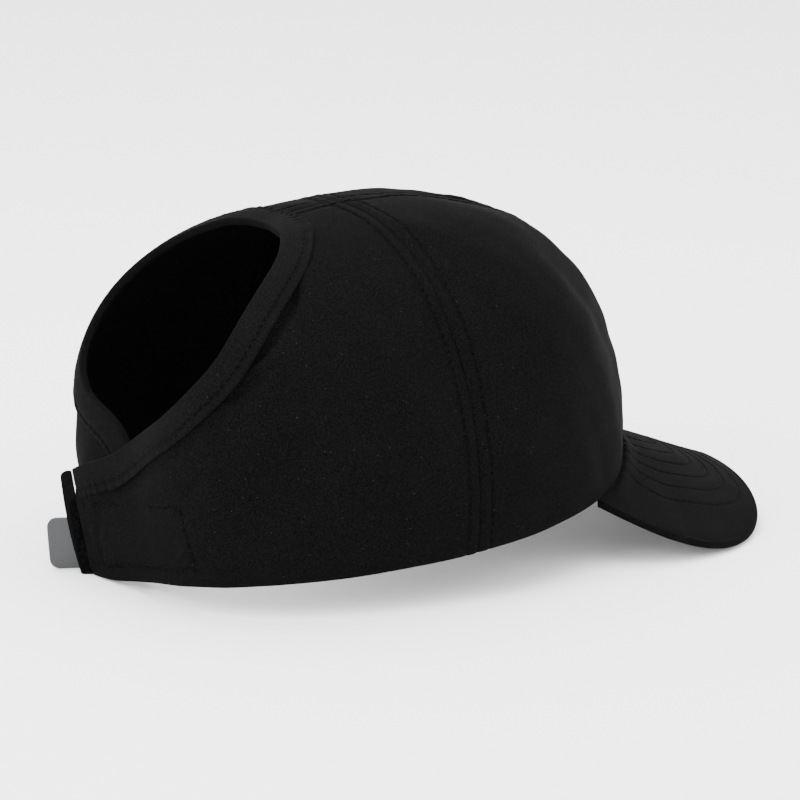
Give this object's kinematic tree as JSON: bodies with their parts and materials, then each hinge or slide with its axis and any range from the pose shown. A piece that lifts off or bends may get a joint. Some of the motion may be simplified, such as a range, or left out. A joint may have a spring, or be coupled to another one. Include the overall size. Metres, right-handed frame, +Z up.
{
  "type": "ponytail baseball cap",
  "caption": "Black cloth cap with a curved bill, four crown panels, a bound ponytail opening and an overlapping pull-tab closure at the back.",
  "frame": {"origin": "middle of the cap's plan on the surface that it rests on", "axes": "+Z up, -Y to the front of the bill, +X to the wearer's left"},
  "size_m": [0.1616, 0.2706, 0.1281],
  "materials": {
    "crown_cloth": "matt knitted sports cloth",
    "bill_cloth": "matt cloth over a stiff core",
    "binding_cloth": "fine ribbed stretch tape",
    "hook_tape": "fuzzy hook and loop tape",
    "soft_tab": "satin"
  },
  "bodies": {
    "root": {"front_panel_right": "crown_cloth", "front_panel_left": "crown_cloth", "back_panel_right": "crown_cloth", "back_panel_left": "crown_cloth", "bill": "bill_cloth", "opening_binding": "binding_cloth", "hook_tape": "hook_tape", "flap_facing": "binding_cloth", "pull_tab": "soft_tab"}
  },
  "joints": []
}
